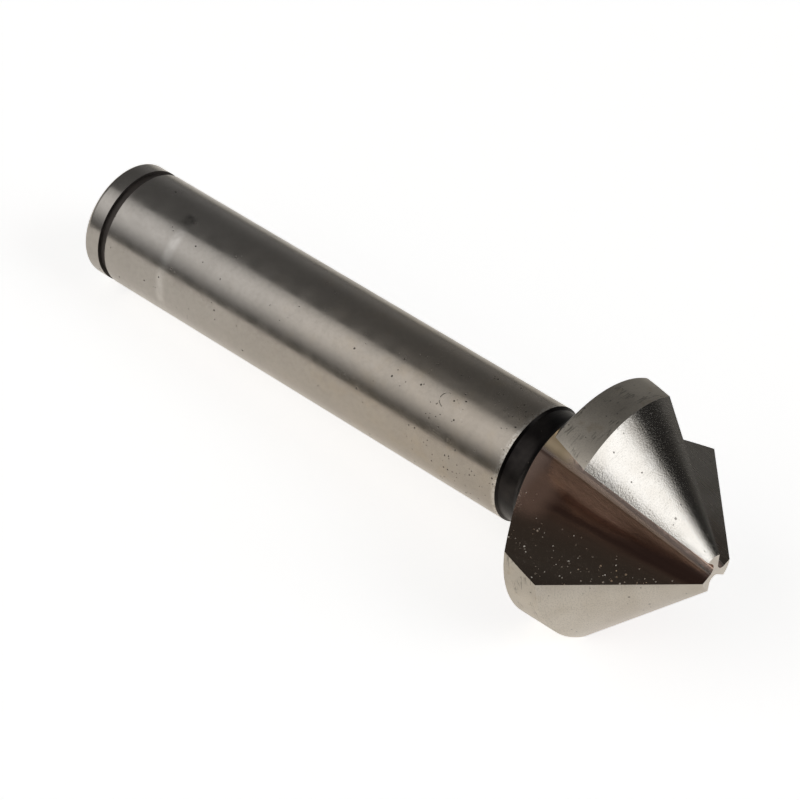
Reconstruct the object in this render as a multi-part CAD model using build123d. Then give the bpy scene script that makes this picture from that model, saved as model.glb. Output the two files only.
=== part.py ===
from build123d import *
import os
from math import atan2, cos, hypot, radians, sin, sqrt, tan

os.makedirs("parts", exist_ok=True)

# Three-flute 90 degree countersink bit with a plain round shank.
# Built with its axis on X and the point toward +X; X = 0 is the plane of the
# outer cutting corners. It is then laid down on its shank and two teeth.

# shank
shank_diameter = 10.0
overall_length = 63.0
end_rounding = 0.45          # rounded rim of the back end
groove_from_end = 1.7        # front-rear place of the ring groove
groove_width = 0.8
groove_depth = 0.3
neck_diameter = 9.6          # undercut behind the head
neck_back = 9.0              # front end of the shank, behind the corner plane
neck_chamfer = 0.2           # length of the slope down into the undercut

# head
head_diameter = 20.5         # over the cutting corners
tip_diameter = 3.4           # small flat at the point
point_angle = 90.0
band_width = 3.6             # cylindrical part behind the cone
back_angle = 57.0            # slope of the back of the head to the axis
back_fillet = 0.6

# teeth: each land falls away behind its cutting edge
tooth_count = 3
land_width = 61.7            # degrees from cutting edge to heel
band_relief = 0.08           # drop in radius from cutting edge to heel
cone_relief = 0.57           # the same for the radius of the cone, at the corner plane
tip_relief = 0.28            # and at the flat tip

# flutes: a V section with a round nose that widens from the point to the neck,
# carried straight through at a slant
flute_rise = 0.373           # outward per mm toward the shank
flute_skew = 0.174           # sideways per mm, gives the cutting edge its rake
flute_angle = 65.1           # between rake wall and heel wall
flute_depth = 7.15           # along the rake wall at the corner plane
nose_radius_front = 0.6       # at the flat tip
nose_radius_back = 1.9        # at the front end of the shank

head_radius = head_diameter / 2
shank_radius = shank_diameter / 2
neck_radius = neck_diameter / 2
half_point = radians(point_angle / 2)
tip_x = (head_radius - tip_diameter / 2) / tan(half_point)
end_x = tip_x - overall_length
pitch = 360.0 / tooth_count

# --- shank and neck, turned and ground ---
neck_front_x = -band_width - (head_radius - neck_radius) / tan(radians(back_angle))
groove_back_x = end_x + groove_from_end
groove_front_x = groove_back_x + groove_width
groove_radius = shank_radius - groove_depth

with BuildPart() as shank:
    with BuildSketch(Plane.XY):
        with BuildLine():
            Polyline(
                (end_x, 0),
                (end_x, shank_radius),
                (groove_back_x, shank_radius),
                (groove_back_x, groove_radius),
                (groove_front_x, groove_radius),
                (groove_front_x, shank_radius),
                (-neck_back - neck_chamfer, shank_radius),
                (-neck_back, neck_radius),
                (neck_front_x, neck_radius),
                (neck_front_x, 0),
                close=True,
            )
        make_face()
    revolve(axis=Axis.X)
    back_rim = shank.edges().filter_by(GeomType.CIRCLE).group_by(Axis.X)[0]
    fillet(back_rim, end_rounding)

# --- head blank: sloping back, outer cylinder and flat tip ---
blank_radius = head_radius + 1
blank_back_x = -band_width + (blank_radius - head_radius) / tan(radians(back_angle))
with BuildPart() as head_blank:
    with BuildSketch(Plane.XY):
        with BuildLine():
            Polyline(
                (neck_front_x, 0),
                (neck_front_x, neck_radius),
                (blank_back_x, blank_radius),
                (tip_x, blank_radius),
                (tip_x, 0),
                close=True,
            )
        make_face()
    revolve(axis=Axis.X)

# --- one relieved tooth sector, its cutting edge at angle 0 (toward +Y) ---
# Both land surfaces are set over toward a direction ahead of the cutting edge,
# so they are full size at the edge and fall away evenly toward the heel.
lead = radians(land_width)
fall = cos(lead) - cos(2 * lead)


def land_circle(x, radius, relief):
    """Round section of a land: it passes through the cutting edge and falls by relief at the heel."""
    shift = relief / fall
    centre = Vector(x, shift * cos(lead), shift * sin(lead))
    set_over = sqrt(radius**2 + shift**2 - 2 * radius * shift * cos(lead))
    with BuildSketch(Plane(origin=centre, x_dir=(0, 1, 0), z_dir=(1, 0, 0))) as circle:
        Circle(set_over)
    return circle.sketch


def cone_circle(x):
    relief = cone_relief + (tip_relief - cone_relief) * x / tip_x
    return land_circle(x, head_radius - x * tan(half_point), relief)


band_solid = loft([land_circle(x, head_radius, band_relief) for x in (-20, 20)], ruled=True)
cone_solid = loft([cone_circle(-20), cone_circle(tip_x + 0.5)], ruled=True)

# sector of one tooth, its sides in the middle of the flutes beside it
sector_front = (pitch - land_width) / 2
sector_back = sector_front - pitch
reach = 2 * head_radius
with BuildPart() as sector:
    with BuildSketch(Plane(origin=(-20, 0, 0), x_dir=(0, 1, 0), z_dir=(1, 0, 0))):
        with BuildLine():
            Polyline(
                (0, 0),
                (reach * cos(radians(sector_back)), reach * sin(radians(sector_back))),
                (2 * reach * cos(radians(sector_back + pitch / 2)),
                 2 * reach * sin(radians(sector_back + pitch / 2))),
                (reach * cos(radians(sector_front)), reach * sin(radians(sector_front))),
                close=True,
            )
        make_face()
    extrude(amount=40)

tooth = head_blank.part & sector.part & band_solid & cone_solid
head = Part() + [Rot(pitch * n, 0, 0) * tooth for n in range(tooth_count)]

# --- flute: V section square to the axis, carried along the slanted path ---
# The rake wall holds the straight cutting edge and the path of the wheel.
hook = atan2(flute_skew, tan(half_point) - flute_rise)
heel_slope = hook + radians(flute_angle)
path = Vector(-1, flute_rise, -flute_skew)
root = Vector(0, head_radius - flute_depth * cos(hook), -flute_depth * sin(hook))
wall = 3 * head_radius
nose_growth = (nose_radius_back - nose_radius_front) / (tip_x + neck_back)


def flute_section(x):
    corner = root - path * x
    with BuildSketch(Plane(origin=corner, x_dir=(0, 1, 0), z_dir=(1, 0, 0))) as section:
        with BuildLine():
            Polyline(
                (0, 0),
                (wall * cos(hook), wall * sin(hook)),
                (wall * cos(heel_slope), wall * sin(heel_slope)),
                close=True,
            )
        make_face()
        nose = nose_radius_front + nose_growth * (tip_x - x)
        fillet(section.vertices().sort_by_distance(corner)[0], nose)
    return section.sketch


flute = loft([flute_section(tip_x + 3), flute_section(-neck_back - 2)], ruled=True)

for n in range(tooth_count):
    head = head - Rot(pitch * n, 0, 0) * flute

bit = head + shank.part
back_corner = bit.edges().filter_by(GeomType.CIRCLE).filter_by(
    lambda e: abs(e.center().X - neck_front_x) < 0.01 and abs(e.radius - neck_radius) < 0.01
)
if back_fillet > 0:
    bit = fillet(back_corner, back_fillet)

# --- lay it down on two teeth and the shank ---
# It touches at one tooth's cutting corner, at the rear heel corner of the land
# across the lowest flute and at the rounded rim of the shank. Find that plane.
land_corners = [v for v in bit.vertices() if hypot(v.Y, v.Z) > head_radius - 2 * band_relief - 0.1]
rear_corners = [v for v in land_corners if v.X < -band_width]
edge_corner = Vector(0, head_radius, 0)
heel_corner = Vector(min(rear_corners, key=lambda v: abs(atan2(v.Z, v.Y) - lead)))
between = (heel_corner - edge_corner).normalized()
inward = Vector(1, 0, 0).cross(between).normalized()
along = between.cross(inward)


def floor_normal(lean):
    return inward * cos(lean) + along * sin(lean)


def shank_height(lean):
    up = floor_normal(lean)
    rim = up.X * (end_x + end_rounding) - end_rounding
    return rim - (shank_radius - end_rounding) * hypot(up.Y, up.Z) - up.dot(edge_corner)


low_lean, high_lean = radians(-20), radians(20)
for step in range(60):
    middle = (low_lean + high_lean) / 2
    if shank_height(low_lean) * shank_height(middle) <= 0:
        high_lean = middle
    else:
        low_lean = middle
up = floor_normal(middle)
forward = Vector(1, 0, 0) - up * up.X
floor = Plane(origin=edge_corner, x_dir=forward, z_dir=up)
bit = floor.location.inverse() * bit
box = bit.bounding_box()
bit = Pos(-box.center().X, -box.center().Y, 0) * bit

export_step(bit, "parts/countersink_bit.step")
print("floor normal", tuple(up), "lowest point", box.min.Z, "centre", tuple(box.center()))
print("solids", len(bit.solids()), "volume", bit.volume, "valid", bit.is_valid)
print(bit.bounding_box())
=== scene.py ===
"""Countersink bit: materials, floor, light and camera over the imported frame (metres, +Z up)."""
import math
import bpy
from mathutils import Matrix, Quaternion, Vector


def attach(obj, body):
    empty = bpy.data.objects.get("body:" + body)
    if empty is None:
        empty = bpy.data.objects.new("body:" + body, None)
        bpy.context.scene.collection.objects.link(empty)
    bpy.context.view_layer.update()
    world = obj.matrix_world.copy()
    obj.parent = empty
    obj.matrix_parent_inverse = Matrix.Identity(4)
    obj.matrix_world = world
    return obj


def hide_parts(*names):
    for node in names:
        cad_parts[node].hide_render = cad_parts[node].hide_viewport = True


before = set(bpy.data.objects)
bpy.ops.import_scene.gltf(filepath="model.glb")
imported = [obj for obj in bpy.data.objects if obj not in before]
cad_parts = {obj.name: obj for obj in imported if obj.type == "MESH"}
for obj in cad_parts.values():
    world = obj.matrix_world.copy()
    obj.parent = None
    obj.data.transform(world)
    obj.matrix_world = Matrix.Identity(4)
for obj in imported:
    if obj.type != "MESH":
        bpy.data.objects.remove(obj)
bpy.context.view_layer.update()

# ---------------------------------------------------------------- the tool's own axes, in mm
# X runs along the tool to its tip from the circle of the cutting corners, and Y to the first
# cutting corner, which stands on the floor.  tool = TO_TOOL @ (MM * place in the frame).
MM = 1000.0                              # in a metre
HEAD_RADIUS = 10.25
AXIS_CLIMB = math.radians(4.62638)       # of the tool's axis, toward its head
CORNER_TURN = math.radians(23.89822)     # of the first corner, from straight below the axis
CORNER = Vector((0, HEAD_RADIUS, 0))
CORNER_ON_FLOOR = Vector((23.752417, -4.19109, 0))     # the same corner in the frame
UP = Vector((math.sin(AXIS_CLIMB), -math.cos(AXIS_CLIMB) * math.cos(CORNER_TURN),
             -math.cos(AXIS_CLIMB) * math.sin(CORNER_TURN)))
AHEAD = (Vector((1, 0, 0)) - UP * UP.x).normalized()
AXES = Matrix((AHEAD, UP.cross(AHEAD), UP)).transposed()
TO_TOOL = Matrix.Translation(CORNER) @ AXES.to_4x4() @ Matrix.Translation(-CORNER_ON_FLOOR)

# ---------------------------------------------------------------- the ground surfaces, in mm
SHANK_RADIUS = 5.0
SHANK_FRONT = -9.15
GROOVE = (-52.8, -51.9)
TIP_X = 8.55
CONE_MIDDLE_RADIUS = 6.0
TEETH = (0, 120, 240)
LAND_WIDTH = 61.7
FACING_UP = 240.0                # the shank's side that looks up and out, in degrees
FLUTE_DEPTH = 7.15
FLUTE_RISE, FLUTE_SKEW = 0.373, 0.174
HOOK = math.atan2(FLUTE_SKEW, 1 - FLUTE_RISE)
HEEL = HOOK + math.radians(65.1)
ROOT = (HEAD_RADIUS - FLUTE_DEPTH * math.cos(HOOK), -FLUTE_DEPTH * math.sin(HOOK))

# how the faces are told apart: lengths in mm, and how far a face looks along the tool
GROOVE_MARGIN = 0.04
CONE_BACK = -2.0                 # the relieved corners reach a little behind the corner circle
BAND_BACK, BAND_DROP = -4.0, 0.2
FLUTE_SLACK, HEEL_REACH, ON_RAKE = 0.6, 3.2, 0.02
SQUARE_ON, SQUARE_BACK, SLOPING, LEVEL = 0.95, -0.9, 0.5, 0.05
BEFORE_EDGE = 20                 # degrees ahead of a cutting edge that still count from it


def turned(p, degrees):
    """y and z of a place in tool axes, turned back about the tool's axis."""
    c, s = math.cos(math.radians(degrees)), math.sin(math.radians(degrees))
    return p.y * c + p.z * s, p.z * c - p.y * s


def in_flute(p, tooth):
    """(distance from the flute's root along the heel wall, height off it, height off the rake wall)."""
    y, z = turned(p, tooth)
    dy, dz = y - (ROOT[0] - FLUTE_RISE * p.x), z - (ROOT[1] + FLUTE_SKEW * p.x)
    return (dy * math.cos(HEEL) + dz * math.sin(HEEL), dy * math.sin(HEEL) - dz * math.cos(HEEL),
            dz * math.cos(HOOK) - dy * math.sin(HOOK))


def surface_of(p, facing):
    """Which ground surface a face belongs to, and its tooth, from its centre and normal in tool axes."""
    r = math.hypot(p.y, p.z)
    turn = math.degrees(math.atan2(p.z, p.y))
    tooth = min(TEETH, key=lambda t: abs((turn + LAND_WIDTH / 2 - t + 180) % 360 - 180))
    if p.x < SHANK_FRONT:
        if GROOVE[0] < p.x < GROOVE[1] and r < SHANK_RADIUS - GROOVE_MARGIN:
            return "groove", tooth
        return ("end" if facing.x < SQUARE_BACK else "shank"), tooth
    if facing.x > SQUARE_ON:
        return "tip", tooth
    if abs(facing.x) > SLOPING:
        return ("cone" if p.x > CONE_BACK else "neck"), tooth
    if r > HEAD_RADIUS - BAND_DROP and abs(facing.x) < LEVEL and p.x > BAND_BACK:
        return "band", tooth
    for tooth in TEETH:
        along, off_heel, off_rake = in_flute(p, tooth)
        if abs(off_rake) < ON_RAKE and (off_heel > ON_RAKE or min(along, off_heel, off_rake) > -FLUTE_SLACK):
            return "rake", tooth
        if min(along, off_heel, off_rake) > -FLUTE_SLACK and off_heel < HEEL_REACH:
            return "heel", tooth
    return "neck", tooth


def laid_out(p, surface, tooth, turn):
    """Place on a surface in mm: along its grinding lines, across them, and a third number.

    On the lands the third number is the angle behind the cutting edge; in a flute it is its tooth.
    """
    if surface in ("tip", "end"):
        return p.y, p.z, 0.0
    if surface in ("heel", "rake"):
        along, off_heel, _ = in_flute(p, tooth)
        return TIP_X - p.x, along if surface == "heel" else off_heel, float(tooth)
    behind = (tooth - turn - FACING_UP + BEFORE_EDGE) % 360 - BEFORE_EDGE
    if surface == "cone":
        return math.radians(turn) * CONE_MIDDLE_RADIUS, (TIP_X - p.x) * math.sqrt(2), behind
    if surface == "band":
        return math.radians(turn) * HEAD_RADIUS, p.x, behind
    return math.radians(turn) * SHANK_RADIUS, p.x, 0.0


# ---------------------------------------------------------------- nodes
class Nodes:
    """Shorthand for building one material's node tree."""

    def __init__(self, name):
        self.material = bpy.data.materials.new(name)
        self.material.use_nodes = True
        self.tree = self.material.node_tree
        self.tree.nodes.clear()
        self.out = self.add("ShaderNodeOutputMaterial")

    def add(self, kind, **settings):
        node = self.tree.nodes.new(kind)
        for key, value in settings.items():
            setattr(node, key, value)
        return node

    def put(self, socket, value):
        if isinstance(value, bpy.types.NodeSocket):
            self.tree.links.new(value, socket)
        elif value is not None:
            socket.default_value = value

    def math(self, operation, a, b=None, c=None, clamp=False):
        node = self.add("ShaderNodeMath", operation=operation, use_clamp=clamp)
        for socket, value in zip(node.inputs, (a, b, c)):
            self.put(socket, value)
        return node.outputs[0]

    def chain(self, operation, first, others):
        for other in others:
            first = self.math(operation, first, other)
        return first

    def times(self, first, *others):
        return self.chain("MULTIPLY", first, others)

    def plus(self, first, *others):
        return self.chain("ADD", first, others)

    def minus(self, a, b):
        return self.math("SUBTRACT", a, b)

    def most(self, first, *others):
        return self.chain("MAXIMUM", first, others)

    def attribute(self, name):
        """A vector that the mesh carries: tool_place, or laid_out for the surface."""
        return self.add("ShaderNodeAttribute", attribute_name=name).outputs["Vector"]

    def split(self, vector):
        node = self.add("ShaderNodeSeparateXYZ")
        self.put(node.inputs[0], vector)
        return node.outputs[0], node.outputs[1], node.outputs[2]

    def join(self, x, y, z):
        node = self.add("ShaderNodeCombineXYZ")
        for socket, value in zip(node.inputs, (x, y, z)):
            self.put(socket, value)
        return node.outputs[0]

    def noise(self, vector, scale, detail=2.0, roughness=0.5):
        node = self.add("ShaderNodeTexNoise")
        self.put(node.inputs["Vector"], vector)
        self.put(node.inputs["Scale"], scale)
        self.put(node.inputs["Detail"], detail)
        self.put(node.inputs["Roughness"], roughness)
        return node.outputs[0]

    def drawn(self, along, across, scales, seed, detail=2.0, roughness=0.5):
        """Noise over a surface, with its own scale along it and across it."""
        place = self.join(self.times(along, scales[0]), self.times(across, scales[1]), seed)
        return self.noise(place, 1.0, detail, roughness)

    def cells(self, vector, scale):
        """Distance from the middle of the nearest cell, and the cell's own random number."""
        node = self.add("ShaderNodeTexVoronoi")
        self.put(node.inputs["Vector"], vector)
        self.put(node.inputs["Scale"], scale)
        return node.outputs["Distance"], self.split(node.outputs["Color"])[0]

    def range(self, value, low, high, to_low=0.0, to_high=1.0, smooth=True):
        """value carried from low..high to to_low..to_high, and held at the ends."""
        node = self.add("ShaderNodeMapRange")
        node.interpolation_type = "SMOOTHSTEP" if smooth else "LINEAR"
        for key, number in (("Value", value), ("From Min", low), ("From Max", high),
                            ("To Min", to_low), ("To Max", to_high)):
            self.put(node.inputs[key], number)
        return node.outputs[0]

    def near(self, value, middle, half, soft):
        """1 within half of middle, falling to 0 over soft."""
        return self.range(self.math("ABSOLUTE", self.minus(value, middle)), half + soft, half)

    def mix(self, factor, a, b):
        """Colour a where factor is 0 and b where it is 1; inputs 6 and 7 are the colours."""
        node = self.add("ShaderNodeMix", data_type="RGBA")
        self.put(node.inputs[0], factor)
        for socket, value in zip((node.inputs[6], node.inputs[7]), (a, b)):
            self.put(socket, value if isinstance(value, bpy.types.NodeSocket) else (*value, 1))
        return node.outputs[2]

    def metal(self, colour, roughness, height, depth, metallic=1.0):
        """Finish the material as metal, with a bump of depth mm."""
        shader = self.add("ShaderNodeBsdfPrincipled")
        self.put(shader.inputs["Metallic"], metallic)
        self.put(shader.inputs["Base Color"], colour)
        self.put(shader.inputs["Roughness"], roughness)
        bump = self.add("ShaderNodeBump")
        bump.inputs["Distance"].default_value = depth / MM
        self.put(bump.inputs["Height"], height)
        self.put(shader.inputs["Normal"], bump.outputs[0])
        self.put(self.out.inputs["Surface"], shader.outputs[0])
        return self.material


def on_surface(n):
    """Place in tool axes, and the three numbers of laid_out."""
    along, across, third = n.split(n.attribute("laid_out"))
    return n.attribute("tool_place"), along, across, third


def grinding(n, along, across, fine=9.0, stretch=0.35):
    """Fine lines that run along a ground surface, as a height from 0 to 1."""
    thin = n.drawn(along, across, (stretch, fine), 0.0, detail=3)
    wide = n.drawn(along, across, (0.12, 1.7), 7.0)
    return n.plus(n.times(thin, 0.7), n.times(wide, 0.3))


def pits(n, at, scale, share, size, seed=0.0):
    """1 in the middle of scattered small pits; share is how many of the cells have one."""
    moved = n.add("ShaderNodeVectorMath", operation="ADD")
    n.put(moved.inputs[0], at)
    moved.inputs[1].default_value = (seed, 2 * seed, -seed)
    distance, chance = n.cells(moved.outputs[0], scale)
    ragged = n.plus(distance, n.times(n.noise(at, 6.0), 0.12))
    spot = n.range(ragged, size + 0.06, size - 0.02)
    return n.times(spot, n.math("LESS_THAN", chance, share))


def scratches(n, along, across, seed):
    """Thin long scratches that run along a surface, in patches."""
    line = n.near(n.drawn(along, across, (0.35, 3.2), seed), 0.5, 0.010, 0.035)
    where = n.drawn(along, across, (0.7, 0.7), seed + 3, detail=3)
    return n.times(line, n.range(where, 0.50, 0.62))


# ---------------------------------------------------------------- materials
def shank_steel(n, at, x):
    """Ground steel that turns from grey at the back to warmer near the head, clouded and mottled."""
    grey, warm, clouded = (0.46, 0.435, 0.405), (0.455, 0.405, 0.345), (0.36, 0.335, 0.305)
    tan, mottled, rubbed_and_highlight = (0.46, 0.385, 0.29), (0.24, 0.22, 0.195), (0.78, 0.75, 0.70)
    cloud = n.range(n.noise(at, 0.22, 4, 0.55), 0.3, 0.7)
    toward_head = n.range(x, -48, -14)
    colour = n.mix(n.times(cloud, 0.34), n.mix(toward_head, grey, warm), clouded)
    tanned = n.times(n.range(n.noise(at, 0.5, 3), 0.5, 0.75), n.times(toward_head, 0.35))
    colour = n.mix(tanned, colour, tan)
    colour = n.mix(n.times(n.range(n.noise(at, 2.4, 4, 0.65), 0.4, 0.7), 0.12), colour, mottled)
    # wear and a painted highlight: the front rim of the shank is painted lighter, as a gritty bright rim
    worn_rim_and_highlight = n.times(n.range(x, -9.75, -9.3), n.range(n.noise(at, 5.0), 0.4, 0.55))
    return n.mix(n.times(worn_rim_and_highlight, 0.5), colour, rubbed_and_highlight)


def shank_marks(n, at, along, x, colour):
    """A worn ring near the back, a smudge above it, and a scratched curl near the neck."""
    ring_grey, smudge_black = (0.62, 0.60, 0.57), (0.10, 0.095, 0.085)
    ring_x, smudge_along, smudge_x = -45.6, -1.75, -45.9
    curl_along, curl_x, curl_radius = 0.05, -16.2, 0.62

    ring = n.times(n.near(x, ring_x, 0.1, 0.6), n.range(along, -2.0, 0.6), n.range(along, 7.0, 5.6))
    ring = n.times(ring, n.range(n.noise(at, 1.3, 3), 0.25, 0.6, 0.4, 1.0))
    colour = n.mix(n.times(ring, 0.65), colour, ring_grey)

    smudge = n.times(n.near(along, smudge_along, 0.1, 0.7), n.near(x, smudge_x, 0.1, 0.7))
    smudge = n.times(smudge, n.range(n.noise(at, 2.0, 3), 0.35, 0.6, 0.5, 1.0))
    colour = n.mix(n.times(smudge, 0.95), colour, smudge_black)

    from_middle = n.math("SQRT", n.plus(n.math("POWER", n.plus(along, -curl_along), 2.0),
                                        n.math("POWER", n.plus(x, -curl_x), 2.0)))
    curl = n.times(n.near(from_middle, curl_radius, 0.01, 0.06), n.math("LESS_THAN", x, curl_x - 0.05))
    return colour, n.times(curl, n.range(n.noise(at, 3.0), 0.4, 0.5, 0.1, 0.6))


def shank_material():
    n = Nodes("ground_shank")
    at, along, x, _ = on_surface(n)
    colour, curl = shank_marks(n, at, along, x, shank_steel(n, at, x))

    pit_black, nick_bright = (0.06, 0.052, 0.045), (0.75, 0.72, 0.68)
    crowd = n.plus(0.12, n.times(n.range(x, -24, -10), 0.75))
    cluster = n.times(n.range(n.noise(at, 0.35), 0.42, 0.62), crowd)
    small = pits(n, at, scale=1.9, share=cluster, size=0.19)
    large = pits(n, at, scale=0.95, share=n.times(cluster, 0.4), size=0.13, seed=3.0)
    fine = pits(n, at, scale=3.4, share=n.times(cluster, 0.5), size=0.2, seed=14.0)
    dark = n.most(small, large, fine, curl)
    colour = n.mix(n.times(dark, 0.8), colour, pit_black)
    bright = pits(n, at, scale=2.3, share=n.times(cluster, 0.6), size=0.10, seed=9.0)
    colour = n.mix(n.times(bright, 0.6), colour, nick_bright)

    rough = n.plus(n.range(n.noise(at, 0.6, 4), 0.3, 0.7, 0.17, 0.25), n.times(dark, 0.3))
    lines = n.times(grinding(n, along, x), 0.12)
    height = n.minus(n.plus(lines, n.times(n.noise(at, 0.9, 3), 0.5)), dark)
    return n.metal(colour, rough, height, depth=0.012)


def dark_recess(name, low, high, roughness, metallic=1.0):
    """Oil-black steel left in the groove and the undercut, with dust caught in it."""
    n = Nodes(name)
    dust_tan = (0.35, 0.31, 0.26)
    at, along, x, _ = on_surface(n)
    lines = grinding(n, along, x, fine=14.0)
    colour = n.mix(n.range(n.noise(at, 0.5, 4), 0.3, 0.75), low, high)
    dust = pits(n, at, scale=2.6, share=0.06, size=0.12, seed=5.0)
    colour = n.mix(n.times(dust, 0.5), colour, dust_tan)
    rough = n.range(lines, 0.3, 0.7, roughness - 0.08, roughness + 0.1)
    return n.metal(colour, rough, lines, 0.01, metallic)


def land_material(name, base, shade, roughness, depth, wear=0.5):
    """A ground land: grainy lines across the cutting edge, scratches, pits, rubbed patches, and painted shade
    toward the heel edge.
    """
    n = Nodes(name)
    grit_dark, painted_shade_to_heel = (0.22, 0.20, 0.175), (0.33, 0.31, 0.28)
    oil_stain, pit_black = (0.36, 0.28, 0.17), (0.10, 0.085, 0.07)
    at, along, across, behind = on_surface(n)
    lines = grinding(n, along, across, fine=7.0, stretch=0.8)
    grit = n.drawn(along, across, (7.0, 9.0), 0.0, detail=1, roughness=0.6)
    colour = n.mix(n.range(n.noise(at, 0.45, 4), 0.35, 0.7), base, shade)
    colour = n.mix(n.range(lines, 0.62, 0.4, 0.0, 0.18), colour, shade)
    colour = n.mix(n.range(grit, 0.55, 0.3, 0.0, 0.22), colour, grit_dark)
    # painted shade: darker toward the heel edge, where the land's relief turns away from the light
    colour = n.mix(n.times(n.range(behind, 47, 62), 0.25), colour, painted_shade_to_heel)

    crowd = n.range(n.noise(at, 0.5), 0.42, 0.62, 0.06, 0.35)
    dark = n.most(pits(n, at, scale=1.1, share=crowd, size=0.14, seed=1.0),
                  pits(n, at, scale=2.2, share=n.times(crowd, 0.8), size=0.17, seed=8.0),
                  n.times(scratches(n, along, across, seed=4.0), wear))
    stain = n.times(n.range(n.noise(at, 0.8, 3), 0.60, 0.72), wear)
    colour = n.mix(n.times(stain, 0.5), colour, oil_stain)
    colour = n.mix(n.times(dark, 0.7), colour, pit_black)
    rough = n.range(grit, 0.3, 0.7, roughness - 0.05, roughness + 0.06)
    height = n.minus(n.plus(n.times(lines, 0.4), n.times(grit, 0.8)), n.times(dark, 0.8))
    return n.metal(colour, rough, height, depth)


# The heel wall's colours by w paint its reflections: 0 where the next cutting edge mirrors in it, as a pale
# strip and a dark line, 1 at the end of the brown zone of reflected floor, and up to 3.5 at the heel.
HEEL_REFLECTION_STOPS = ((-0.5, (0.66, 0.50, 0.43)), (-0.14, (0.70, 0.55, 0.48)), (-0.07, (0.88, 0.71, 0.64)),
              (-0.02, (0.90, 0.72, 0.64)), (0.01, (0.36, 0.23, 0.18)), (0.05, (0.52, 0.345, 0.28)),
              (0.42, (0.57, 0.37, 0.30)), (0.52, (0.25, 0.13, 0.10)), (0.66, (0.21, 0.11, 0.08)),
              (0.74, (0.32, 0.18, 0.135)), (0.84, (0.29, 0.165, 0.12)), (0.92, (0.19, 0.10, 0.075)),
              (1.02, (0.21, 0.12, 0.09)), (1.09, (0.35, 0.21, 0.15)), (1.30, (0.29, 0.195, 0.145)),
              (1.70, (0.25, 0.185, 0.14)), (2.40, (0.26, 0.205, 0.16)), (3.50, (0.15, 0.12, 0.10)))


def heel_reflection_ramp(n, w):
    """Painted reflection colour by w, from HEEL_REFLECTION_STOPS."""
    first, last = HEEL_REFLECTION_STOPS[0][0], HEEL_REFLECTION_STOPS[-1][0]
    ramp = n.add("ShaderNodeValToRGB")
    n.put(ramp.inputs[0], n.range(w, first, last, smooth=False))
    for number, (place, tint) in enumerate(HEEL_REFLECTION_STOPS):
        spot = (place - first) / (last - first)
        if number in (0, len(HEEL_REFLECTION_STOPS) - 1):
            stop = ramp.color_ramp.elements[0 if number == 0 else -1]
        else:
            stop = ramp.color_ramp.elements.new(spot)
        stop.position, stop.color = spot, (*tint, 1)
    return ramp.outputs[0]


def heel_dust(n, at, down, w, to_heel):
    """Specks and a film of dust toward the heel and the neck: how much, its tint, and the specks."""
    pale, rusty, brown = (0.80, 0.76, 0.68), (0.50, 0.34, 0.21), (0.16, 0.125, 0.095)
    dirty = n.times(n.range(w, 1.1, 1.9), n.range(to_heel, -0.2, 1.5, 1.0, 0.75))
    dirty = n.most(dirty, n.times(n.range(down, 11.5, 14.5), n.range(w, 0.7, 1.5)))
    crowd = n.times(dirty, n.range(n.noise(at, 0.8), 0.42, 0.62, 0.08, 1.0))
    specks = n.most(pits(n, at, scale=2.4, share=crowd, size=0.22, seed=2.0),
                    pits(n, at, scale=1.3, share=n.times(crowd, 0.45), size=0.16, seed=6.0),
                    pits(n, at, scale=4.2, share=n.times(crowd, 0.5), size=0.27, seed=12.0))
    film = n.times(n.range(n.noise(at, 4.0, 4, 0.7), 0.55, 0.8), n.times(dirty, 0.3))
    edge_grit = n.times(n.range(down, 12.6, 14.6), n.range(w, 0.75, 1.2),
                        n.range(n.noise(at, 7.5), 0.54, 0.64, 0.0, 0.55))
    tint = n.mix(n.range(n.noise(at, 1.4), 0.45, 0.6), pale, rusty)
    tint = n.mix(n.range(n.noise(at, 3.1, 1), 0.42, 0.6), tint, brown)
    return n.most(n.times(specks, 0.9), film, edge_grit), tint, specks


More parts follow.
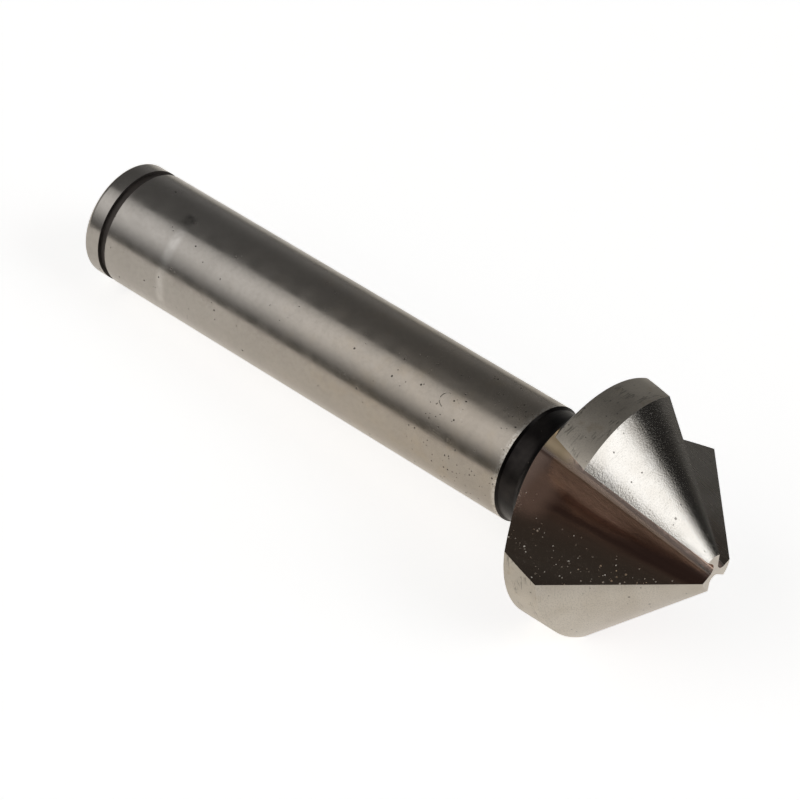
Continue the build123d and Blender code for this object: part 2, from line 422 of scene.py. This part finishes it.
def heel_material():
    """Flute wall: polish with its reflections painted in, some of them shaded darker, streaks that spread
    from the point, and dust near the heel.
    """
    n = Nodes("polished_flute_painted_reflections")
    streak_dark, darker_reflection_at_tip, reflection_brown_toward_neck = (0.15, 0.09, 0.065), (0.17, 0.095, 0.075), (0.72, 0.455, 0.345)
    pale_reflection_at_neck, olive_dimmed_reflection = (0.95, 0.67, 0.55), (0.50, 0.40, 0.25)
    at, down, across, tooth = on_surface(n)

    # w, as in HEEL_REFLECTION_STOPS: it spreads from the point, and wanders a little past 0.1
    edge_image = n.plus(1.0, n.times(down, 0.118))
    spread = n.plus(1.2, n.times(down, 0.182))
    w = n.math("DIVIDE", n.minus(across, edge_image), spread)
    to_heel = n.minus(n.plus(3.0, n.times(down, 0.935)), across)
    wander = n.drawn(down, w, (0.3, 1.5), tooth, detail=3)
    w = n.plus(w, n.times(n.minus(wander, 0.5), n.range(w, 0.1, 0.6, 0.0, 0.22)))
    streak = n.drawn(down, w, (0.16, 7.0), tooth, detail=4, roughness=0.6)

    streaked = n.times(n.range(streak, 0.48, 0.75, 0.0, 0.5), n.range(w, 0.0, 0.3, 0.15, 1.0))
    colour = n.mix(streaked, heel_reflection_ramp(n, w), streak_dark)
    # painted shade: the painted reflection turns darker toward the point
    near_tip = n.times(n.range(down, 8.5, 4.2), n.range(w, 0.08, 0.35), n.range(w, 1.3, 1.05))
    colour = n.mix(n.times(near_tip, 0.9), colour, darker_reflection_at_tip)
    # painted reflection: lighter toward the neck end, and pale just past the cutting edge's mirror line there
    lighter_reflection_toward_neck = n.times(n.range(down, 11.2, 12.8), n.range(w, 0.25, 0.42), n.range(w, 1.6, 1.1))
    colour = n.mix(n.times(lighter_reflection_toward_neck, 0.95), colour, reflection_brown_toward_neck)
    by_neck = n.times(n.range(down, 13.4, 14.6), n.range(w, 0.02, 0.1))
    colour = n.mix(by_neck, colour, pale_reflection_at_neck)
    # painted shade on the painted reflection: the strip turns a darker olive toward the neck end, dimming the
    # glint of the curved nose
    olive = n.times(n.range(down, 11.5, 13.5), n.range(w, 0.0, -0.12))
    colour = n.mix(n.times(olive, 0.85), colour, olive_dimmed_reflection)

    dust, tint, specks = heel_dust(n, at, down, w, to_heel)
    colour = n.mix(dust, colour, tint)
    rough = n.plus(n.range(streak, 0.3, 0.7, 0.12, 0.2), n.times(dust, 0.5), n.times(olive, 0.2))
    height = n.plus(n.times(streak, 0.35), n.times(specks, 0.8))
    return n.metal(colour, rough, height, 0.01, metallic=n.minus(1.0, dust))


def rake_material():
    """Flute wall under the cutting edge: dark polish with lines along the flute and a few nicks."""
    n = Nodes("polished_rake")
    grey, warm, streak_dark, nick_black = ((0.48, 0.45, 0.405), (0.42, 0.39, 0.34),
                                           (0.22, 0.20, 0.175), (0.05, 0.045, 0.04))
    at, down, across, tooth = on_surface(n)
    streak = n.drawn(down, across, (0.2, 4.0), tooth, detail=4, roughness=0.6)
    colour = n.mix(n.range(n.noise(at, 0.35, 3), 0.35, 0.7), grey, warm)
    colour = n.mix(n.range(streak, 0.5, 0.8, 0.0, 0.2), colour, streak_dark)
    dark = pits(n, at, scale=1.1, share=0.10, size=0.12, seed=4.0)
    colour = n.mix(n.times(dark, 0.75), colour, nick_black)
    rough = n.range(streak, 0.3, 0.7, 0.2, 0.3)
    height = n.minus(n.times(streak, 0.08), dark)
    return n.metal(colour, rough, height, 0.008)


MATERIALS = {
    "shank": shank_material(),
    "groove": dark_recess("groove_dark", (0.075, 0.064, 0.056), (0.11, 0.095, 0.085), 0.5, 0.4),
    "neck": dark_recess("neck_black", (0.016, 0.014, 0.014), (0.045, 0.04, 0.037), 0.36),
    "band": land_material("ground_band", (0.63, 0.58, 0.50), (0.52, 0.475, 0.41), 0.34, 0.010, wear=0.7),
    "cone": land_material("ground_cone", (0.595, 0.56, 0.505), (0.545, 0.505, 0.445), 0.145, 0.011, wear=0.1),
    "heel": heel_material(),
    "rake": rake_material(),
    "tip": land_material("ground_tip", (0.74, 0.70, 0.645), (0.64, 0.60, 0.555), 0.34, 0.008, wear=0.1),
    "end": land_material("ground_end", (0.42, 0.40, 0.37), (0.32, 0.30, 0.27), 0.38, 0.010),
}


# ---------------------------------------------------------------- the bit
def angle_from_top(p, middle):
    """Degrees about the tool's axis from its upper side, on the same turn as middle."""
    turn = math.degrees(math.atan2(p.z, p.y)) - FACING_UP
    return (turn - middle + 180) % 360 - 180 + middle


def dressed_bit():
    """The CAD solid's own faces, sorted by surface, each with its material."""
    mesh = bpy.data.objects["countersink_bit"].data.copy()
    mesh.name = "bit_body"
    bit = bpy.data.objects.new("bit_body", mesh)
    bpy.context.scene.collection.objects.link(bit)
    mesh.materials.clear()
    names = list(MATERIALS)
    for name in names:
        mesh.materials.append(MATERIALS[name])

    places = [TO_TOOL @ (vertex.co * MM) for vertex in mesh.vertices]
    tool_place = mesh.attributes.new("tool_place", "FLOAT_VECTOR", "POINT")
    tool_place.data.foreach_set("vector", [number for place in places for number in place])
    laid = [0.0] * (3 * len(mesh.loops))
    turn_axes = TO_TOOL.to_3x3()
    for face in mesh.polygons:
        centre = TO_TOOL @ (face.center * MM)
        surface, tooth = surface_of(centre, turn_axes @ face.normal)
        face.material_index = names.index(surface)
        middle = angle_from_top(centre, 0.0)
        for loop in face.loop_indices:
            place = places[mesh.loops[loop].vertex_index]
            laid[3 * loop:3 * loop + 3] = laid_out(place, surface, tooth, angle_from_top(place, middle))
    mesh.attributes.new("laid_out", "FLOAT_VECTOR", "CORNER").data.foreach_set("vector", laid)
    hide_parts("countersink_bit")
    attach(bit, "root")


# ---------------------------------------------------------------- floor, light, camera
FLOOR_HALF = 30.0
TENT_RADIUS, TENT_RINGS, TENT_SPOKES = 1.5, 24, 64
CARD_HEIGHT = 0.0004
CARD_FRONT = ((-1.1, -0.046), (1.1, -0.046), (1.1, -0.19), (-0.05, -0.19), (-0.38, -0.9), (-1.1, -0.9))
CARD_BACK = ((-1.1, 0.025), (1.1, 0.025), (1.1, 0.9), (-1.1, 0.9))
CAMERA_PLACE = Vector((0.149316, -0.192701, 0.219018))
CAMERA_TARGET = Vector((0.002699, -0.003642, 0.0097))
CAMERA_ROLL = math.radians(7.7312)

# lighter and darker parts of the tent, in degrees about the bit and up:
# (middle, half width, softness, lowest, highest, softness up, strength)
TENT_AREAS = ((112, 26, 14, -60, 16, 20, 0.13), (162, 30, 8, 58, 70, 2, 0.34),
              (58, 11, 5, 8, 34, 6, -0.09), (79, 7, 4, 0, 16, 4, 0.06))


def stage_mesh(name, points, faces, material):
    """One thing of the studio, whose glow is too wide to need aimed rays."""
    material.cycles.emission_sampling = "NONE"
    mesh = bpy.data.meshes.new(name)
    mesh.from_pydata(points, [], faces)
    mesh.materials.append(material)
    thing = bpy.data.objects.new(name, mesh)
    bpy.context.scene.collection.objects.link(thing)
    return thing


def glowing(n, colour, strength):
    """The output of a shader that gives light and takes none."""
    glow = n.add("ShaderNodeEmission")
    n.put(glow.inputs["Color"], colour)
    n.put(glow.inputs["Strength"], strength)
    return glow.outputs[0]


def floor_material():
    """Pale floor: white to the eye, a little darker in reflections, with the bit's own shadow."""
    n = Nodes("pale_floor")
    white_to_eye, in_metal, matt_colour = (0.76, 0.76, 0.76), (0.52, 0.49, 0.45), (0.75, 0.74, 0.72, 1)
    paths = n.add("ShaderNodeLightPath").outputs
    seen = n.math("ADD", paths["Is Camera Ray"], paths["Is Transmission Ray"], clamp=True)
    strength = n.math("ADD", seen, paths["Is Glossy Ray"], clamp=True)
    matt = n.add("ShaderNodeBsdfDiffuse")
    matt.inputs["Color"].default_value = matt_colour
    both = n.add("ShaderNodeAddShader")
    n.put(both.inputs[0], matt.outputs[0])
    n.put(both.inputs[1], glowing(n, n.mix(seen, in_metal, white_to_eye), strength))
    n.put(n.out.inputs["Surface"], both.outputs[0])
    return n.material


def tent_material():
    """Dim studio walls and ceiling with two large soft panels of light in them."""
    n = Nodes("studio_tent")
    warm_white, cool_white = (1.0, 0.99, 0.98), (0.97, 1.0, 1.05)
    main_middle, main_strength, side_strength = -125, 0.85, 1.75
    x, y, z = n.split(n.add("ShaderNodeTexCoord").outputs["Object"])
    flat = n.math("SQRT", n.plus(n.times(x, x), n.times(y, y)))
    up = n.times(n.math("ARCTAN2", z, flat), 180 / math.pi)
    around = n.times(n.math("ARCTAN2", y, x), 180 / math.pi)

    def beside(azimuth):
        return n.math("WRAP", n.minus(around, azimuth), 180.0, -180.0)

    strength = n.times(n.range(up, -1, 7, 0.4, 1.0), 0.115)
    strength = n.minus(strength, n.times(n.range(up, 66, 72), 0.015))
    for middle, half, soft, low, high, soft_up, amount in TENT_AREAS:
        wide = n.range(n.math("ABSOLUTE", beside(middle)), half + soft, half - soft)
        tall = n.times(n.range(up, low - soft_up, low + soft_up), n.range(up, high + soft_up, high - soft_up))
        strength = n.plus(strength, n.times(wide, tall, amount))

    main = n.times(n.range(up, -4, 36), n.range(up, 61, 56))
    main = n.times(main, n.range(n.math("ABSOLUTE", beside(main_middle)), 45.0, 40.5))
    main = n.times(main, n.range(beside(main_middle), -46, -16, 0.5, 1.0))
    side = n.times(n.range(around, -12, 6), n.range(around, 54, 30))
    side = n.times(side, n.range(up, 22, 34), n.range(up, 60, 48), side_strength)
    strength = n.plus(strength, n.times(main, main_strength), side)
    colour = n.mix(n.math("MINIMUM", side, 1.0), warm_white, cool_white)
    n.put(n.out.inputs["Surface"], glowing(n, colour, strength))
    return n.material


def card_material():
    """Grey card, lighter in a strip close behind the bit."""
    n = Nodes("grey_card")
    _, y, _ = n.split(n.add("ShaderNodeTexCoord").outputs["Object"])
    close_behind = n.times(n.range(y, 0.16, 0.02), n.math("GREATER_THAN", y, 0.0))
    glow = glowing(n, (0.13, 0.125, 0.115, 1), n.plus(1.0, n.times(close_behind, 3.2)))
    n.put(n.out.inputs["Surface"], glow)
    return n.material


def build_floor_and_cards():
    corners = [(sx * FLOOR_HALF, sy * FLOOR_HALF, 0) for sx, sy in ((-1, -1), (1, -1), (1, 1), (-1, 1))]
    stage_mesh("floor", corners, [(0, 1, 2, 3)], floor_material())

    # grey cards before and behind, seen only in the metal: they draw the dark line along the shank
    corners = [(x, y, CARD_HEIGHT) for x, y in CARD_FRONT + CARD_BACK]
    card = stage_mesh("grey_card", corners, [(5, 4, 3, 2, 1, 0), (6, 7, 8, 9)], card_material())
    card.visible_camera = card.visible_diffuse = card.visible_shadow = False


def build_tent():
    """Half a sphere over the floor, closed at its top by a fan."""
    points = [(0, 0, TENT_RADIUS)]
    faces = []
    for ring in range(1, TENT_RINGS + 1):
        tilt = math.pi / 2 * ring / TENT_RINGS
        for spoke in range(TENT_SPOKES):
            turn = 2 * math.pi * spoke / TENT_SPOKES
            points.append((TENT_RADIUS * math.sin(tilt) * math.cos(turn),
                           TENT_RADIUS * math.sin(tilt) * math.sin(turn), TENT_RADIUS * math.cos(tilt)))
    for spoke in range(TENT_SPOKES):
        after = (spoke + 1) % TENT_SPOKES
        faces.append((0, 1 + spoke, 1 + after))
        for ring in range(TENT_RINGS - 1):
            a, b = 1 + ring * TENT_SPOKES, 1 + (ring + 1) * TENT_SPOKES
            faces.append((a + spoke, b + spoke, b + after, a + after))
    stage_mesh("studio_tent", points, faces, tent_material()).visible_camera = False


def build_surround():
    """White world, seen by the camera past the tent."""
    world = bpy.data.worlds.new("white_surround")
    bpy.context.scene.world = world
    world.use_nodes = True
    world.node_tree.nodes["Background"].inputs["Color"].default_value = (1, 1, 1, 1)
    world.node_tree.nodes["Background"].inputs["Strength"].default_value = 1.0


def build_camera():
    data = bpy.data.cameras.new("camera")
    camera = bpy.data.objects.new("camera", data)
    bpy.context.scene.collection.objects.link(camera)
    aim = (CAMERA_TARGET - CAMERA_PLACE).to_track_quat("-Z", "Y") @ Quaternion((0, 0, 1), CAMERA_ROLL)
    camera.matrix_world = Matrix.Translation(CAMERA_PLACE) @ aim.to_matrix().to_4x4()
    data.lens, data.sensor_width = 183.961, 36.0
    data.shift_x, data.shift_y = -0.0026330, 0.0009341
    data.clip_start, data.clip_end = 0.01, 200.0
    bpy.context.scene.camera = camera


dressed_bit()
build_floor_and_cards()
build_tent()
build_surround()
build_camera()
bpy.context.scene.view_settings.view_transform = "Standard"
